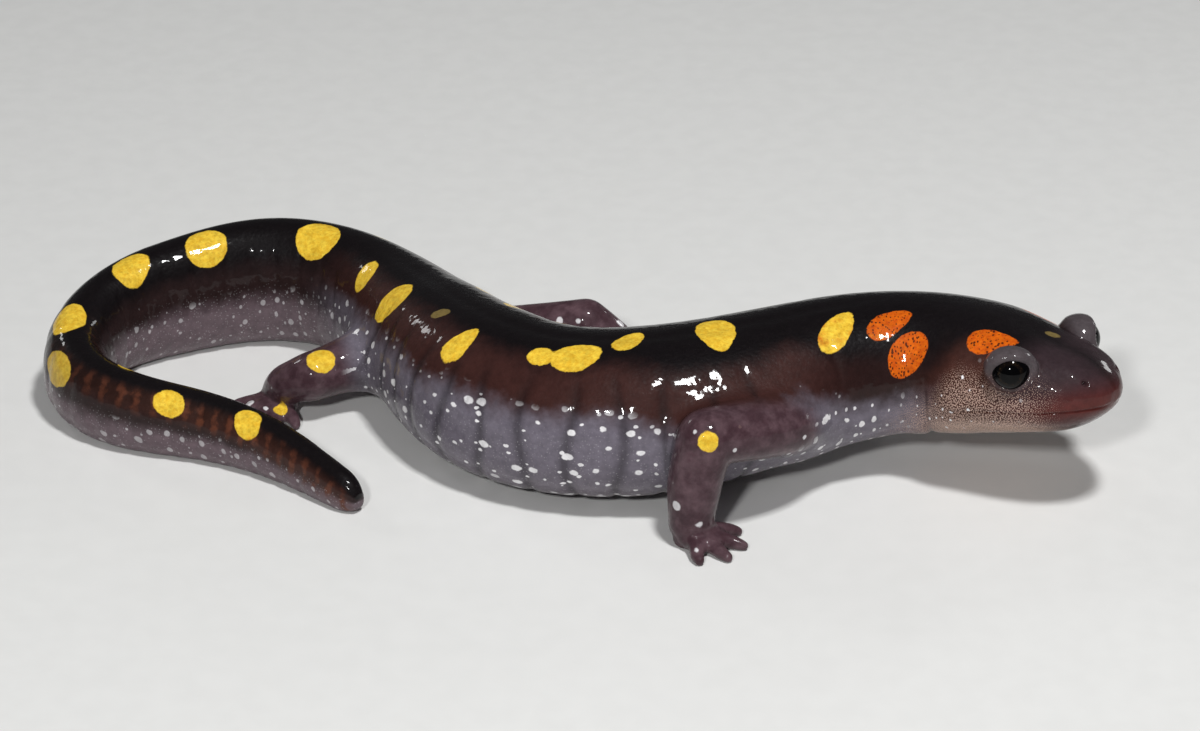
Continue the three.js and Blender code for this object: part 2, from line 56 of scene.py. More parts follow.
TOTAL_LENGTH = 182
SNOUT_HEADING = 140  # degrees, from the snout towards the tail
BENDS = [  # station, span, turn in degrees
    (23, 25.5, 58),
    (62, 40, -81),
    (105.5, 34, 90),
    (140, 38, 142),
    (164, 24, -33),
]
REST = -0.35  # lift of an underside that is pressed flat on the floor
SECTIONS = [  # station, width, height, lift of the underside, level of the widest part
    (0, 7.6, 5.2, 11, 0.54),
    (3.5, 10.8, 7.7, 9.2, 0.50),
    (8.8, 14.6, 10.3, 7.3, 0.46),
    (12.5, 16.2, 12, 6.1, 0.44),
    (16, 17, 13.3, 5.1, 0.43),
    (20, 16.4, 14, 4.4, 0.43),
    (25.5, 15.4, 14.6, 3.7, 0.44),
    (34, 16.4, 15.3, 2.7, 0.44),
    (42, 17.8, 15.8, 1.7, 0.44),
    (55, 19, 16.6, 0.3, 0.43),
    (68, 18.8, 16.6, REST, 0.42),
    (80, 16.2, 15.8, REST, 0.43),
    (88, 13.8, 14.7, REST, 0.43),
    (97, 11.6, 14, REST, 0.42),
    (110, 9.4, 14.4, REST, 0.42),
    (124, 8.2, 13.2, REST, 0.42),
    (139, 7.1, 10.1, REST, 0.42),
    (153, 6.1, 8.5, REST, 0.42),
    (167, 4.9, 6.8, REST, 0.42),
    (TOTAL_LENGTH, 3, 4, REST, 0.42),
]
ROUNDNESS = 2.2  # exponent of the sections: 2 would be an ellipse
HEAD_ROLL = 6  # degrees
ROLL_START, ROLL_END = 14, 34  # stations between which the head's roll runs out
SNOUT_CAP, TAIL_CAP = 5.5, 3.2  # length over which the snout and the tail tip round off
SNOUT_BLUNTNESS = 2.3  # exponent of the snout's rounding

EYE_STATION, EYE_OUT, EYE_HEIGHT, EYE_RADIUS = 9.0, 6.4, 15.5, 2.1
EYE_FORWARD, EYE_UP = 32, 13  # degrees that it looks ahead and upwards
MOUTH_CORNER = 15.5  # station
MOUTH_AT_SNOUT, MOUTH_AT_CORNER = 12.9, 9.5  # height of the mouth line


# ---- curves and the body's path

def smooth_step(t):
    u = np.clip(t, 0, 1)
    return u * u * (3 - 2 * u)


def bell(x, width):
    return np.exp(-((x / width) ** 2))


def hermite(t, start, end, leaving, arriving):
    """The cubic from start to end with the given slopes at its ends, at t from 0 to 1."""
    pull = (t**3 - 2 * t**2 + t) * leaving + (t**3 - t**2) * arriving
    return (2 * t**3 - 3 * t**2 + 1) * start + (3 * t**2 - 2 * t**3) * end + pull


def monotone_curve(xs, ys):
    """A smooth function through the knots that never overshoots them."""
    xs, ys = np.array(xs, float), np.array(ys, float)
    gap = np.diff(xs)
    chord = np.diff(ys) / gap
    slope = np.zeros(len(ys))
    slope[0], slope[-1] = chord[0], chord[-1]
    for i in range(1, len(ys) - 1):
        if chord[i - 1] * chord[i] > 0:
            before, after = 2 * gap[i] + gap[i - 1], gap[i] + 2 * gap[i - 1]
            slope[i] = (before + after) / (before / chord[i - 1] + after / chord[i])

    def value(x):
        i = np.clip(np.searchsorted(xs, x, side="right") - 1, 0, len(xs) - 2)
        t = (x - xs[i]) / gap[i]
        return hermite(t, ys[i], ys[i + 1], gap[i] * slope[i], gap[i] * slope[i + 1])

    return value


width_at, height_at, lift_at, level_at = (
    monotone_curve([row[0] for row in SECTIONS], [row[column] for row in SECTIONS])
    for column in (1, 2, 3, 4)
)


def heading_at(s):
    degrees = SNOUT_HEADING + sum(
        turn * smooth_step((s - at + span / 2) / span) for at, span, turn in BENDS
    )
    return np.radians(degrees)


PATH_STEP = 0.25
path_stations = np.arange(0, TOTAL_LENGTH + 2 * PATH_STEP, PATH_STEP)
path_headings = heading_at(path_stations[1:] - PATH_STEP / 2)
path_x = np.concatenate([[0], np.cumsum(np.cos(path_headings) * PATH_STEP)])
path_y = np.concatenate([[0], np.cumsum(np.sin(path_headings) * PATH_STEP)])


def axis_height_at(s):
    return lift_at(s) + level_at(s) * height_at(s)


def place_unmoved(s, left, up):
    """A point from its station, its distance to the animal's left and its height."""
    s, left, up = (np.asarray(v, float) for v in (s, left, up))
    heading = heading_at(s)
    roll = radians(HEAD_ROLL) * (1 - smooth_step((s - ROLL_START) / (ROLL_END - ROLL_START)))
    axis = axis_height_at(s)
    rise = up - axis
    leaned = left * np.cos(roll) + rise * np.sin(roll)
    x = np.interp(s, path_stations, path_x) + np.sin(heading) * leaned
    y = np.interp(s, path_stations, path_y) - np.cos(heading) * leaned
    return np.stack([x, y, axis + rise * np.cos(roll) - left * np.sin(roll)], -1)


eye_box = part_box("eye_right")
cad_eye = np.array((eye_box[0] + eye_box[1]) / 2) / MM
FRAME_SHIFT = cad_eye - place_unmoved(EYE_STATION, -EYE_OUT, EYE_HEIGHT)


def place(s, left, up):
    """A point of the body in the part's frame, in millimetres."""
    return place_unmoved(s, left, up) + FRAME_SHIFT


def forward_at(s):
    """The direction from tail to snout at a station."""
    heading = heading_at(s)
    return np.array([-cos(heading), -sin(heading), 0.0])


# ---- body surface

RING_POINTS = 300
FINE_ANGLES = np.linspace(-pi / 2, 1.5 * pi, 721)  # from belly to belly, by the left
HEAD_STEP, BODY_STEP = 0.13, 0.3  # distance between rings on the head and on the body
HEAD_END, STEP_CHANGE = 21, 9  # station, and the length over which the distance changes
SNOUT_RINGS, TIP_RINGS = 54, 16  # on the rounding of the snout and of the tail tip
SNOUT_GAP, TIP_GAP = 0.03, 0.05  # radians left open at the end of each rounding
MOUTH_CROWDING = 1.6  # how much closer together points lie beside the mouth


def ring_stations():
    """Stations of the rings: even along the skin where the snout and tail tip round off."""
    cap_angles = np.linspace(SNOUT_GAP, pi / 2, SNOUT_RINGS)
    stations = list(SNOUT_CAP * (1 - np.cos(cap_angles)))
    tail_start = TOTAL_LENGTH - TAIL_CAP
    while stations[-1] < tail_start:
        share = smooth_step((stations[-1] - HEAD_END) / STEP_CHANGE)
        stations.append(stations[-1] + HEAD_STEP + (BODY_STEP - HEAD_STEP) * float(share))
    stations = [s for s in stations if s < tail_start - BODY_STEP / 2]
    tip_angles = np.linspace(pi / 2, TIP_GAP, TIP_RINGS)
    return np.array(stations + list(TOTAL_LENGTH - TAIL_CAP * (1 - np.cos(tip_angles))))


def cap_factor(s):
    from_snout = np.minimum(s / SNOUT_CAP, 1)
    from_tip = np.minimum((TOTAL_LENGTH - s) / TAIL_CAP, 1)
    snout = (1 - (1 - from_snout) ** SNOUT_BLUNTNESS) ** (1 / SNOUT_BLUNTNESS)
    return snout * np.sqrt(np.maximum(0, 1 - (1 - from_tip) ** 2))


def outline(s, angles):
    """Distance left and height of the oval section at a station."""
    power = 2 / ROUNDNESS
    cap = cap_factor(s)
    sine, cosine = np.sin(angles), np.cos(angles)
    left = width_at(s) / 2 * cap * np.sign(cosine) * np.abs(cosine) ** power
    rise = np.sign(sine) * np.abs(sine) ** power
    share = np.where(rise > 0, 1 - level_at(s), level_at(s))
    return left, axis_height_at(s) + rise * share * height_at(s) * cap


def mouth_height(s):
    return MOUTH_AT_SNOUT + (MOUTH_AT_CORNER - MOUTH_AT_SNOUT) * s / MOUTH_CORNER


def body_grid():
    """Rings of points on the plain body: positions, stations, and arc length from mid-back."""
    stations = ring_stations()
    lefts, ups, arcs = [], [], []
    for s in stations:
        left, up = outline(s, FINE_ANGLES)
        length = np.hypot(np.diff(left), np.diff(up))
        arc = np.concatenate([[0], np.cumsum(length)])
        near_mouth = bell(up - mouth_height(s), 0.8) * (1 - smooth_step((s - 16) / 5))
        weight = 1 + MOUTH_CROWDING * (near_mouth[1:] + near_mouth[:-1]) / 2
        measure = np.concatenate([[0], np.cumsum(length * weight)])
        wanted = np.linspace(0, measure[-1], RING_POINTS, endpoint=False)
        lefts.append(np.interp(wanted, measure, left))
        ups.append(np.interp(wanted, measure, up))
        arcs.append(np.interp(wanted, measure, arc) - arc[-1] / 2)
    shape = (len(stations), RING_POINTS)
    grid_s = np.broadcast_to(stations[:, None], shape)
    left, up, arc = np.array(lefts), np.array(ups), np.array(arcs)
    return place(grid_s, left, up), grid_s, arc, left, up


def grid_normals(points):
    """Outward normals of a grid of rings."""
    along = np.gradient(points, axis=0)
    around = np.roll(points, -1, 1) - np.roll(points, 1, 1)
    normals = np.cross(along, around)
    return normals / (np.linalg.norm(normals, axis=-1, keepdims=True) + 1e-12)


# ---- folds of the body

# Stations of the grooves, their width and depth, and where they show between mid-back (0) and
# mid-belly (1): from, in full, in full until, to.
COSTAL = {"at": np.linspace(44.5, 84, 12), "width": 0.40, "depth": 0.17}
COSTAL_SPREAD = (0.14, 0.34, 0.84, 0.97)
CAUDAL = {"at": np.arange(99, 176, 3.6), "width": 0.5, "depth": 0.13}
CAUDAL_SPREAD = (0.1, 0.3, 0.7, 0.95)
GROOVE_WANDER, GROOVE_WAVE, GROOVE_LEAN = 0.35, 0.42, 1.6

FLANK_SWELLING = 0.06
# Swellings and folds as height, place and width, a fold's height negative.
FURROW = (-0.10, 0, 0.9)  # the channel down the middle of the back
GULAR, GULAR_LEAN = (-0.26, 20.3, 0.55), 6  # the fold across the throat
THROAT = (0.12, 22.1, 1.3)  # the fuller skin behind it
COLLAR, COLLAR_LEAN = (-0.18, 34.5, 0.5), 2.2
JAW_MUSCLE = (0.38, 16.3, 3.2)
LIP_CREASE, LIP_CREASE_WIDTH = 0.18, 0.13
LIP_CREASE_BEHIND_TIP = 0.08  # how much deeper it is behind the snout's tip
UPPER_LIP, LOWER_LIP = (0.12, 0.62, 0.5), (-0.10, 0, 1.6)
SNOUT_RIDGE = (0.15, 3.5, 0.9)
BROW_HOLLOW = (-0.20, 0, 1.8)


def fold(x, height, at, width):
    return height * bell(x - at, width)


def grooves(s, arc, low, at, width, depth):
    """Shallow grooves round the body, each wandering a little from its station."""
    dip = np.zeros_like(s)
    for number, station in enumerate(at):
        wander = GROOVE_WANDER * np.sin(GROOVE_WAVE * np.abs(arc) + 1.9 * number)
        dip += bell(s - station - wander - GROOVE_LEAN * (low - 0.5) ** 2, width)
    return -depth * dip


def between(x, low_start, low_end, high_start, high_end):
    """1 from low_end to high_start, fading to 0 at low_start and high_end."""
    rise = smooth_step((x - low_start) / (low_end - low_start))
    return rise * (1 - smooth_step((x - high_start) / (high_end - high_start)))


def body_relief(s, arc, low, up, steep):
    """Height of the folds and swellings over the plain body, in millimetres."""
    relief = grooves(s, arc, low, **COSTAL) * between(low, *COSTAL_SPREAD)
    relief += FLANK_SWELLING * between(s, 40, 46, 82, 88) * between(low, 0.25, 0.5, 0.8, 0.95)
    relief += grooves(s, arc, low, **CAUDAL) * between(low, *CAUDAL_SPREAD)
    relief += fold(arc, *FURROW) * between(s, 24, 34, 88, 100)
    # the throat
    gular = fold(s - GULAR_LEAN * (low - 0.75) ** 2, *GULAR)
    relief += gular * smooth_step((low - 0.40) / 0.2)
    relief += fold(s, *THROAT) * smooth_step((low - 0.5) / 0.2)
    relief += fold(s + COLLAR_LEAN * (low - 0.4), *COLLAR) * between(low, 0.12, 0.3, 0.6, 0.8)
    # jaw muscles and the gland behind the eye
    relief += fold(s, *JAW_MUSCLE) * bell(low - 0.44, 0.16)
    # the mouth: a crease under a slightly fuller upper lip
    drop = (up - mouth_height(s)) / np.maximum(steep, 0.35)
    mouth = 1 - smooth_step((s - MOUTH_CORNER + 1.0) / 1.6)
    behind_tip = smooth_step((s - 0.8) / 4)
    crease = LIP_CREASE + LIP_CREASE_BEHIND_TIP * behind_tip
    relief -= crease * bell(drop, LIP_CREASE_WIDTH) * mouth
    below = smooth_step((-0.05 - drop) / 0.3)
    lips = fold(drop, *UPPER_LIP) + fold(drop, *LOWER_LIP) * below
    relief += lips * mouth * behind_tip
    # ridges along the snout and the hollow between the eyes
    relief += fold(np.abs(arc), *SNOUT_RIDGE) * between(s, 1.5, 3.5, 6.5, 8.5)
    relief += fold(arc, *BROW_HOLLOW) * between(s, 3.0, 7.0, 10, 15)
    return relief


# ---- eyes and nostrils

UPPER_LID, LOWER_LID = 0.45, 0.16  # how far the lids stand off the eyeball
LID_CORNERS = 0.26  # how much further they stand off in front of it and behind it
LID_REACH = radians(52)  # how far round the eye the skin is shaped by it
LID_ROOT = 3.5  # depth behind the eye's centre of the point that the skin is moved from
# The opening between the lids: half angles seen from the eye's centre, and its tilt.
OPENING_ACROSS, OPENING_ABOVE, OPENING_BELOW = 68, 41, 54
OPENING_TILT = 14  # degrees that the front corner is raised
SOCKET_FLOOR = 0.4  # height of the hidden skin behind the eye over the eye's centre
CORNER_EXPONENT = 1.75  # 2 would make the opening an ellipse, less makes its corners sharper
LID_FOLD_TURN = 62  # degrees round the eye, from ahead to above, of the middle of its fold
LID_FOLD_DEPTH, LID_FOLD_WIDTH = 0.2, 0.28
LID_SOFTNESS, LID_FOLD_SOFTNESS = 0.95, 0.30  # how softly the lid runs out, and at its fold
SKIRT_BELOW, SKIRT_ABOVE = 0.9, 0.15  # how far the lid's height carries on round the eye
# The lid's margin in section: share of the reach, degrees past the margin, height over the
# eyeball, and share of the lid's thickness on top of that.
LID_MARGIN = [
    (0.20, -2.5, -0.24, 0.0),
    (0.24, -0.5, -0.03, 0.0),
    (0.27, 0.0, 0.06, 0.15),
    (0.30, 1.5, 0.05, 0.65),
    (0.335, 5.0, 0.0, 0.95),
    (0.38, 10.0, 0.0, 1.0),
]
NOSTRIL_STATION, NOSTRIL_OUT = 2.1, 2.95
NOSTRIL_PIT, NOSTRIL_RIM = (-0.7, 0, 0.26), (0.07, 0.45, 0.2)


def eye_frame(side):
    """Centre of an eye, the direction it looks in, and the directions up and ahead across it."""
    centre = place(EYE_STATION, side * EYE_OUT, EYE_HEIGHT)
    level = axis_height_at(EYE_STATION)
    sideways = place(EYE_STATION, side, level) - place(EYE_STATION, 0, level)
    turn, tilt = radians(EYE_FORWARD), radians(EYE_UP)
    axis = sideways * cos(turn) + forward_at(EYE_STATION) * sin(turn)
    axis = axis * cos(tilt)
    axis[2] = sin(tilt)
    axis /= np.linalg.norm(axis)
    upward = np.array([0, 0, 1.0]) - axis[2] * axis
    upward /= np.linalg.norm(upward)
    ahead = np.cross(axis, upward)
    return centre, axis, upward, ahead * np.sign(ahead @ forward_at(EYE_STATION))


def smooth_max(a, b, softness):
    return 0.5 * (a + b + np.sqrt((a - b) ** 2 + softness**2))


def fitted_height(x, y, z):
    """A smooth height z over the plane (x, y), fitted to scattered points."""
    powers = [(i, j) for i in range(6) for j in range(6 - i)]

    def terms(px, py):
        return np.stack([px**i * py**j for i, j in powers], -1)

    fit = np.linalg.lstsq(terms(x, y), z, rcond=None)[0]
    return lambda px, py: terms(px, py) @ fit


def opening_angle(spin):
    """Angle between the eye's axis and the margin of the lids, in a direction round it."""
    across, upright = np.cos(spin) / OPENING_ACROSS, np.sin(spin)
    upright = upright / np.where(upright > 0, OPENING_ABOVE, OPENING_BELOW)
    total = np.abs(across) ** CORNER_EXPONENT + np.abs(upright) ** CORNER_EXPONENT
    return np.radians(total ** (-1 / CORNER_EXPONENT))


def shape_eyelids(points):
    """Raises the lids round both eyes and sinks the opening that each eye fills."""
    lids = np.zeros(points.shape[:-1])
    share, past, over, thickness = (np.array(column) for column in zip(*LID_MARGIN))
    for side in (-1, 1):
        centre, axis, upward, ahead = eye_frame(side)
        offset = points - (centre - LID_ROOT * axis)
        depth, x, y = offset @ axis, offset @ ahead, offset @ upward
        angle = np.arctan2(np.hypot(x, y), depth)
        near = angle < LID_REACH
        t = angle[near] / LID_REACH
        spin = np.arctan2(y[near], x[near])
        reach = np.linalg.norm(offset[near], axis=1)
        plain = fitted_height(t * np.cos(spin), t * np.sin(spin), reach)
        upper = smooth_step((np.sin(spin) + 0.45) / 0.8)
        stand_off = LOWER_LID + (UPPER_LID - LOWER_LID) * upper + LID_CORNERS * np.cos(spin) ** 2
        lid_radius = EYE_RADIUS + stand_off

        # the margin of the lid, and the skin that dips under the eye inside it
        margin = opening_angle(spin - radians(OPENING_TILT))
        sunk = np.minimum(t / share[0], 1)
        turned = (margin + np.radians(np.interp(t, share, past))) * sunk
        radius = EYE_RADIUS + np.interp(t, share, over)
        radius += stand_off * np.interp(t, share, thickness)
        radius = SOCKET_FLOOR + (radius - SOCKET_FLOOR) * sunk**0.7
        out, rise = radius * np.sin(turned), radius * np.cos(turned)

        # beyond the margin, the lid's swelling runs out into the head
        last = margin + radians(past[-1])
        first = np.arctan2(lid_radius * np.sin(last), LID_ROOT + lid_radius * np.cos(last))
        beyond = np.clip((t - share[-1]) / (1 - share[-1]), 0, 1)
        turned = first + (LID_REACH - first) * beyond
        inside = np.maximum(lid_radius**2 - (LID_ROOT * np.sin(turned)) ** 2, 0)
        swelling = LID_ROOT * np.cos(turned) + np.sqrt(inside) - 3 * (inside == 0)
        u = turned / LID_REACH
        head = plain(u * np.cos(spin), u * np.sin(spin))
        creased = smooth_step((np.cos(spin - radians(LID_FOLD_TURN)) - 0.1) / 0.7)
        softness = LID_SOFTNESS - (LID_SOFTNESS - LID_FOLD_SOFTNESS) * creased
        crease = LID_FOLD_DEPTH * creased * bell(swelling - head, LID_FOLD_WIDTH)
        bulge = smooth_max(swelling, head, softness)
        rim_reach = lid_radius**2 - (LID_ROOT * np.sin(first)) ** 2
        rim_height = LID_ROOT * np.cos(first) + np.sqrt(rim_reach)
        above = smooth_step((np.sin(spin) - 0.1) / 0.7)
        skirt = SKIRT_BELOW - (SKIRT_BELOW - SKIRT_ABOVE) * above
        slope = head + (rim_height - head) * skirt * (1 - beyond) ** 1.7
        radial = smooth_max(bulge, slope, 0.2) - crease
        outer = smooth_step((t - 0.33) / 0.05)
        out += outer * (radial * np.sin(turned) - out)
        rise += outer * (radial * np.cos(turned) - LID_ROOT - rise)
        across = out[:, None] * (np.cos(spin)[:, None] * ahead + np.sin(spin)[:, None] * upward)
        moved = centre + rise[:, None] * axis + across
        settle = smooth_step((t - 0.78) / 0.22)[:, None]
        points[near] = moved * (1 - settle) + points[near] * settle

        # where the skin has the lids' grey
        on_lid = smooth_step((swelling - head + 0.35) / 0.6) * smooth_step((0.95 - t) / 0.25)
        rim = 1 - smooth_step((t - 0.30) / 0.06)
        lids[near] = on_lid * upper + 0.45 * rim * (1 - upper)
    return lids


def nostril_centres():
    """The two nostrils' places on the snout."""
    centres = []
    left, up = outline(NOSTRIL_STATION, FINE_ANGLES)
    for side in (-1, 1):
        upper = (up > axis_height_at(NOSTRIL_STATION)) & (np.sign(left) == side)
        at = np.argmin(np.where(upper, np.abs(np.abs(left) - NOSTRIL_OUT), np.inf))
        centres.append(place(NOSTRIL_STATION, left[at], up[at]))
    return centres


def body_mesh_arrays():
    """The body's shaped skin as rings, with what its colours follow."""
    plain, s, arc, left, up = body_grid()
    half_girth = np.abs(arc).max(1, keepdims=True)
    low = np.abs(arc) / half_girth
    normals = grid_normals(plain)
    steep = np.hypot(normals[..., 0], normals[..., 1])
    points = plain + normals * body_relief(s, arc, low, up, steep)[..., None]
    for centre in nostril_centres():
        distance = np.linalg.norm(points - centre, axis=-1)
        pit = fold(distance, *NOSTRIL_PIT) + fold(distance, *NOSTRIL_RIM)
        points += normals * pit[..., None]
    lids = shape_eyelids(points)
    above_floor(points)
    drop = up - mouth_height(s)
    front = 1 - smooth_step((s - MOUTH_CORNER - 1) / 6)
    marks = {
        "station": s,
        "girth": arc,
        "low": low,
        "lid": lids,
        "jaw": front * smooth_step((-0.3 - drop) / 1.8) * smooth_step((s - 2) / 6),
        "lip": bell(drop - 0.3, 1.9) * (1 - smooth_step((s - 4) / 8)),
        # mask of the costal grooves, used to paint shade into them
        "painted_groove_shade": -grooves(s, arc, low, COSTAL["at"], 0.42, 1.0) * between(low, *COSTAL_SPREAD),
    }
    return points, marks


# ---- legs

# Each leg: its side, its joints as station, distance from the middle line, height, radius,
# and its foot as heading in degrees, toes, degrees between the outer toes, middle toe's length.
LEGS = [
    (-1, [(38, 4.2, 8.4, 3.1), (41, 8.8, 9.9, 3.0), (49.2, 11.9, 11.3, 2.95),
          (50.1, 12.5, 6.6, 2.8), (50.4, 12.9, 2.3, 2.4)], (-34, 4, 96, 3.9)),
    (1, [(38, 4.2, 7.4, 3.1), (38.4, 9.2, 7.6, 3.0), (37.4, 15.0, 7.3, 2.7),
         (35.4, 16.8, 4.6, 2.4), (34.2, 17.9, 2.2, 2.1)], (62, 4, 96, 3.9)),
    (-1, [(88, 2.6, 5.2, 3.2), (87.6, 7.6, 5.2, 3.0), (87, 12.9, 5.0, 2.7),
          (89, 14.9, 3.6, 2.3), (91, 15.4, 2.0, 2.0)], (-120, 5, 110, 4.2)),
    (1, [(88, 2.6, 5.4, 3.2), (86.4, 8.4, 5.4, 2.9), (80.8, 16.9, 7.4, 2.6),
         (77, 19.6, 4.8, 2.35), (74.5, 21.2, 2.1, 2.05)], (20, 5, 110, 4.2)),
]
PALMS = {4: (4.6, 4.9), 5: (4.8, 5.4)}  # length and width by number of toes
PALM_HALF_HEIGHT, SOLE_HEIGHT = 1.2, 1.0
TOE_RADIUS = 0.9
TOE_HEIGHTS, TOE_TAPER = (1.0, 0.86, 0.66, 0.46), (1.15, 1.02, 0.86, 0.66)
LIMB_SIDES, END_RINGS = 48, 9  # points round a limb, and rings on each rounded end
UPPER_RINGS, LOWER_RINGS, TOE_RINGS, BALL_RINGS = 40, 48, 24, 24
BALL_GAP = 0.08  # radians left open at the poles of a rounded form


def limb_curve(knots, i, u):
    """Points a share u of the way from knot i to the next, on a Catmull-Rom curve."""
    knots = np.vstack([2 * knots[0] - knots[1], *knots, 2 * knots[-1] - knots[-2]])
    p0, p1, p2, p3 = (knots[i + k] for k in range(4))
    d0, d1, d2 = (
        np.sqrt(np.linalg.norm(b - a, axis=1, keepdims=True))
        for a, b in ((p0, p1), (p1, p2), (p2, p3))
    )
    m1 = ((p1 - p0) / d0 - (p2 - p0) / (d0 + d1) + (p2 - p1) / d1) * d1
    m2 = ((p2 - p1) / d1 - (p3 - p1) / (d1 + d2) + (p3 - p2) / d2) * d1
    return hermite(u, p1, p2, m1, m2)


def tube(knots, radii, steps):
    """A closed round form through the knots, with rounded ends: its points and faces."""
    position = np.linspace(0, 1, steps) * (len(knots) - 1)
    i = np.minimum(position.astype(int), len(knots) - 2)
    centres = limb_curve(knots, i, (position - i)[:, None])
    radii = np.asarray(radii, float)
    radius = radii[i] + (radii[i + 1] - radii[i]) * smooth_step(position - i)
    along = np.gradient(centres, axis=0)
    along /= np.linalg.norm(along, axis=1, keepdims=True)
    # both ends rounded like half balls
    caps = np.linspace(1.5, 0.15, END_RINGS)
    head = centres[0] - along[0] * radius[0] * np.sin(caps)[:, None]
    tail = centres[-1] + along[-1] * radius[-1] * np.sin(caps[::-1])[:, None]
    centres = np.vstack([head, centres, tail])
    ends = np.repeat(along[[0, -1]], END_RINGS, 0)
    along = np.vstack([ends[:END_RINGS], along, ends[END_RINGS:]])
    radius = np.concatenate([radius[0] * np.cos(caps), radius, radius[-1] * np.cos(caps[::-1])])
    across = np.array([0.31, 0.27, 1.0])
    angles = np.linspace(0, TAU, LIMB_SIDES, endpoint=False)
    rings = []
    for centre, direction, r in zip(centres, along, radius):
        across = across - direction * (across @ direction)
        across /= np.linalg.norm(across)
        over = np.cross(direction, across)
        ring = np.cos(angles)[:, None] * across + np.sin(angles)[:, None] * over
        rings.append(centre + r * ring)
    return grid_to_mesh(np.array(rings))


def grid_to_mesh(rings):
    """Points and outward faces of a closed form made of rings, with a fan at each end."""
    count, sides = rings.shape[:2]
    points = np.vstack([rings.reshape(-1, 3), rings[0].mean(0), rings[-1].mean(0)])
    first, last = count * sides, count * sides + 1
    i = np.arange(sides)
    j = (i + 1) % sides
    rows = (np.arange(count - 1) * sides)[:, None]
    quads = np.stack([rows + i, rows + j, rows + sides + j, rows + sides + i], -1).reshape(-1, 4)
    end = (count - 1) * sides
    fans = np.vstack([
        np.stack([np.full(sides, first), j, i], -1),
        np.stack([np.full(sides, last), end + i, end + j], -1),
    ])
    a, b, c = (points[quads[:, k]] for k in range(3))
    outward = np.einsum("ij,ij->", a - points.mean(0), np.cross(b - a, c - a)) > 0
    turn = 1 if outward else -1
    return points, quads[:, ::turn].tolist() + fans[:, ::turn].tolist()


def ellipsoid(centre, size, turn):
    """A closed rounded form of the given half sizes, turned about the vertical by degrees."""
    tilt = np.linspace(-pi / 2 + BALL_GAP, pi / 2 - BALL_GAP, BALL_RINGS)
    spin = np.linspace(0, TAU, LIMB_SIDES, endpoint=False)
    x = np.cos(tilt)[:, None] * np.cos(spin) * size[0]
    y = np.cos(tilt)[:, None] * np.sin(spin) * size[1]
    z = np.sin(tilt)[:, None] * np.ones_like(spin) * size[2]
    cosine, sine = cos(radians(turn)), sin(radians(turn))
    rings = np.stack([x * cosine - y * sine, x * sine + y * cosine, z], -1)
    return grid_to_mesh(rings + centre)


def foot_forms(wrist, heading, toes, spread, toe_length):
    """The palm and toes of one foot."""
    length, width = PALMS[toes]

    def direction(degrees):
        return np.array([cos(radians(degrees)), sin(radians(degrees)), 0])

    ahead = direction(heading)
    sole = np.array([wrist[0], wrist[1], SOLE_HEIGHT])
    palm = (length * 0.62, width / 2, PALM_HALF_HEIGHT)
    forms = [ellipsoid(sole + ahead * length * 0.25, palm, heading)]
    for number in range(toes):
        share = number / (toes - 1) - 0.5
        along = direction(heading + spread * share)
        reach = toe_length * (1 - 0.5 * abs(share))
        root = sole + ahead * length * (0.55 - 0.45 * abs(share))
        root = root + direction(heading + 90) * width * 0.7 * share
        bend = direction(heading + spread * share * 0.8)
        knots = [root - along * 0.8, root + bend * reach * 0.3, root + along * reach * 0.62]
        knots.append(root + along * (reach - 0.35) + ahead * 0.15)
        for knot, height in zip(knots, TOE_HEIGHTS):
            knot[2] = height
        forms.append(tube(knots, [TOE_RADIUS * taper for taper in TOE_TAPER], TOE_RINGS))
    return forms


def leg_forms(side, joints, foot):
    """The overlapping forms that make up one leg."""
    points = [place(at, side * out, up) for at, out, up, _ in joints]
    radii = [radius for *_, radius in joints]
    sole = points[4].copy()
    sole[2] = 0.6
    forms = [tube(points[:3], radii[:3], UPPER_RINGS)]
    forms.append(tube(points[2:] + [sole], radii[2:] + [radii[4] * 0.8], LOWER_RINGS))
    return forms + foot_forms(points[4], *foot)


# ---- mesh tools

def new_object(name, points, faces):
    """A mesh object from points in millimetres."""
    mesh = bpy.data.meshes.new(name)
    mesh.from_pydata((np.asarray(points) * MM).tolist(), [], faces)
    mesh.update()
    piece = bpy.data.objects.new(name, mesh)
    bpy.context.scene.collection.objects.link(piece)
    return piece


def apply_modifiers(piece):
    """Replaces the object's mesh by what its modifiers make of it."""
    bpy.context.view_layer.update()
    graph = bpy.context.evaluated_depsgraph_get()
    made = bpy.data.meshes.new_from_object(piece.evaluated_get(graph))
    old = piece.data
    piece.modifiers.clear()
    piece.data = made
    bpy.data.meshes.remove(old)


def read_rows(items, key, width, kind=np.float32):
    """One property of all vertices or edges, as an array with a row for each."""
    flat = np.empty(len(items) * width, kind)
    items.foreach_get(key, flat)
    return flat.reshape(-1, width)


def mesh_points(mesh):
    return read_rows(mesh.vertices, "co", 3).astype(float) / MM


def set_points(mesh, points):
    mesh.vertices.foreach_set("co", (np.asarray(points) * MM).astype(np.float32).ravel())
    mesh.update()


def mesh_edges(mesh):
    return read_rows(mesh.edges, "vertices", 2, np.int32)


def relax(points, edges, weight, rounds):
    """Draws each point towards the middle of its neighbours, by its weight, several times."""
    count = len(points)
    a, b = edges[:, 0], edges[:, 1]
    degree = np.maximum(np.bincount(a, minlength=count) + np.bincount(b, minlength=count), 1)
    for _ in range(rounds):
        for axis in range(3):
            column = points[:, axis]
            total = np.bincount(a, column[b], count) + np.bincount(b, column[a], count)
            points[:, axis] = column + weight * (total / degree - column)
    return points


def above_floor(points):
    """The points, with those under the floor lifted onto it."""
    points[..., 2] = np.maximum(points[..., 2], 0)
    return points


